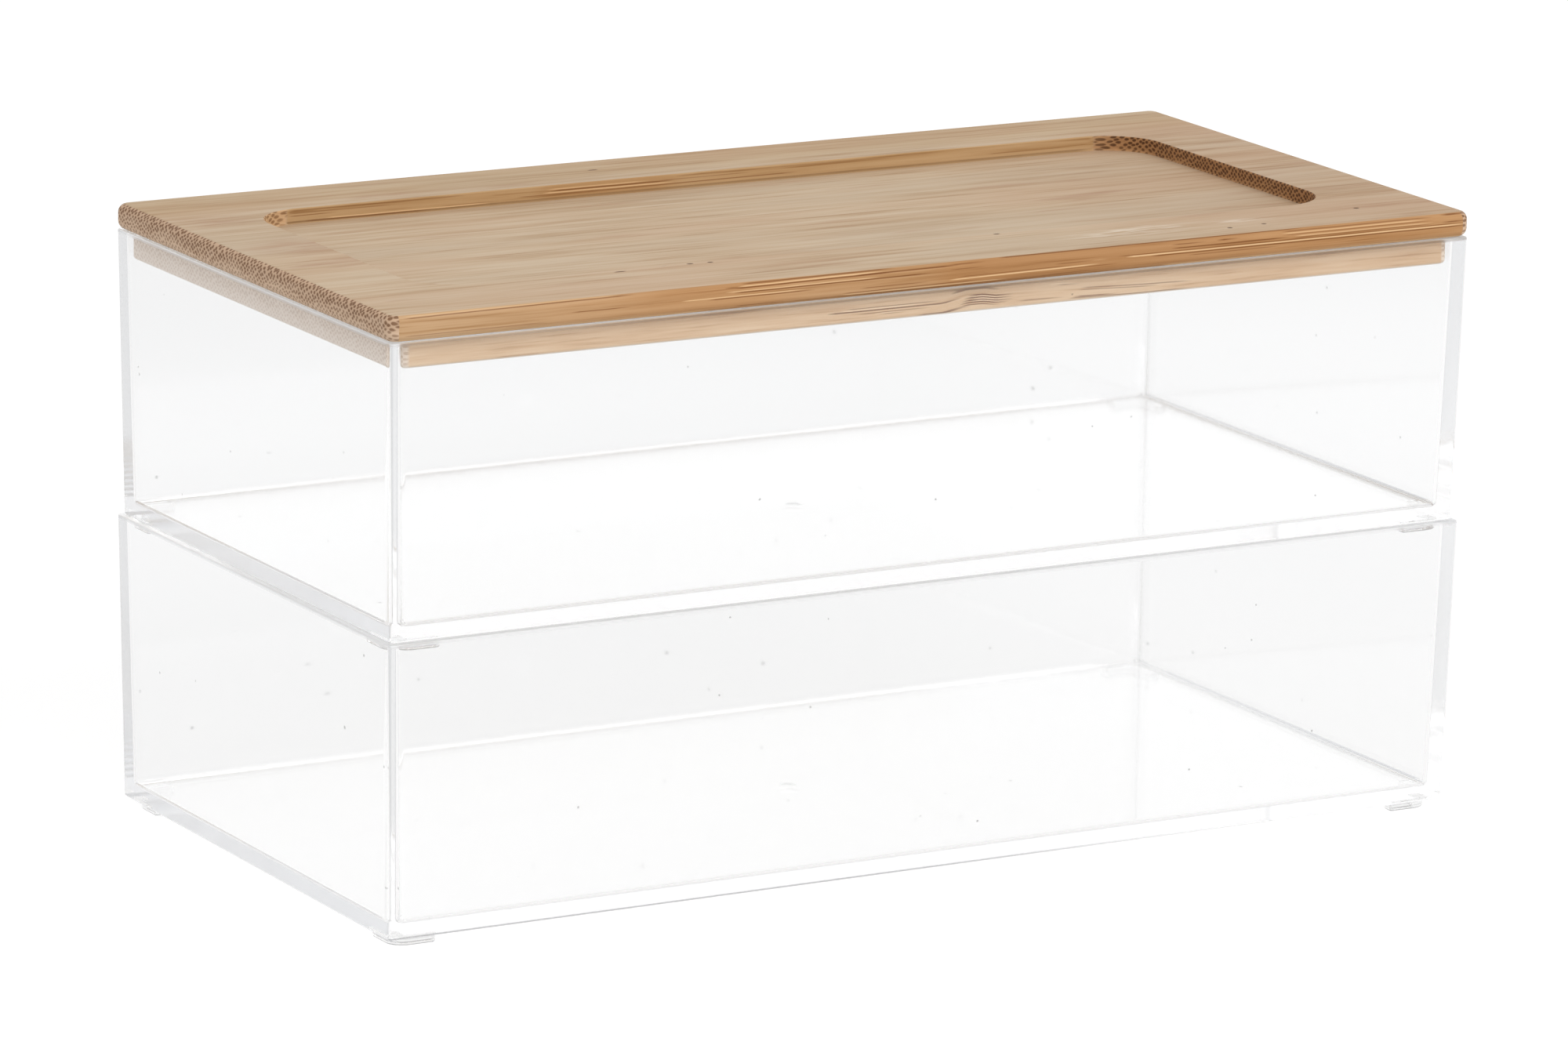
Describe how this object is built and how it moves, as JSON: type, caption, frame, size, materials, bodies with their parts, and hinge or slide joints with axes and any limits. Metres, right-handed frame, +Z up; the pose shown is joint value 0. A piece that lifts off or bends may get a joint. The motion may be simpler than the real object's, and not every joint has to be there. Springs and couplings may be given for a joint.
{
  "type": "stacking clear storage boxes with wooden tray lid",
  "caption": "Clear rectangular storage boxes with small feet, stacked, under a wooden lid with a shallow tray in its top.",
  "frame": {"origin": "centre of the stack on the surface that the lower box's feet stand on", "axes": "+X along the long side, -Y the front, +Z up"},
  "size_m": [0.2544, 0.1274, 0.1298],
  "materials": {
    "clear_plastic": "clear, polished",
    "bamboo": "sanded, satin"
  },
  "bodies": {
    "lower": {"lower_box": "clear_plastic"},
    "upper": {"upper_box": "clear_plastic"},
    "lid": {"lid_top_board": "bamboo", "lid_plug_board": "bamboo"}
  },
  "joints": [
    {"name": "upper_box_lift", "type": "slide", "parent": "lower", "child": "upper", "axis": [0, 0, 1], "range_m": [0, 0.1]},
    {"name": "lid_lift", "type": "slide", "parent": "upper", "child": "lid", "axis": [0, 0, 1], "range_m": [0, 0.1]}
  ]
}
